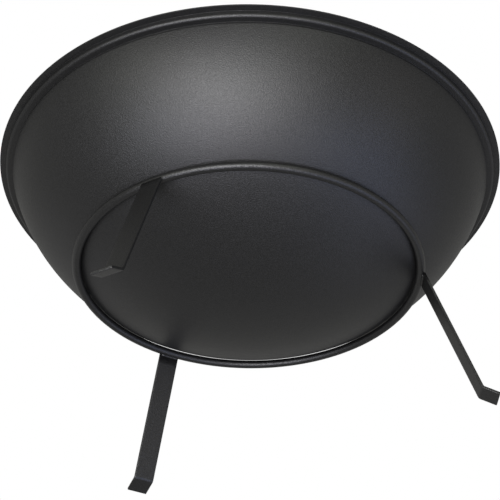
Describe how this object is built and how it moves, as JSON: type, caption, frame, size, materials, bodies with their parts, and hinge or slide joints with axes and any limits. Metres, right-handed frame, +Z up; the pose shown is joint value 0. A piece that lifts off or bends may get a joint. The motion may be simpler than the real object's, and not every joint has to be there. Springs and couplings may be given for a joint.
{
  "type": "fire bowl on tripod stand",
  "caption": "Round pressed-steel fire bowl with a stepped rim, resting loose in a round-bar ring on splayed flat-bar legs with bent feet.",
  "frame": {"origin": "on the bowl's axis, at the floor the feet stand on", "axes": "+Z up along the bowl's axis, +X through the leg on the right, +Y towards the back"},
  "size_m": [0.5999, 0.6, 0.2926],
  "materials": {
    "bowl_coating": "satin black powder coat with a fine orange-peel texture",
    "stand_coating": "satin black powder coat on bar stock",
    "weld_coating": "satin black powder coat over a weld bead"
  },
  "bodies": {
    "stand": {"base_ring": "stand_coating", "leg_right": "stand_coating", "leg_rear_left": "stand_coating", "leg_front_left": "stand_coating", "weld_right": "weld_coating", "weld_rear_left": "weld_coating", "weld_front_left": "weld_coating"},
    "bowl": {"bowl": "bowl_coating"}
  },
  "joints": [
    {"name": "bowl_lift", "type": "slide", "parent": "stand", "child": "bowl", "axis": [0, 0, 1], "range_m": [0, 0.25]}
  ]
}
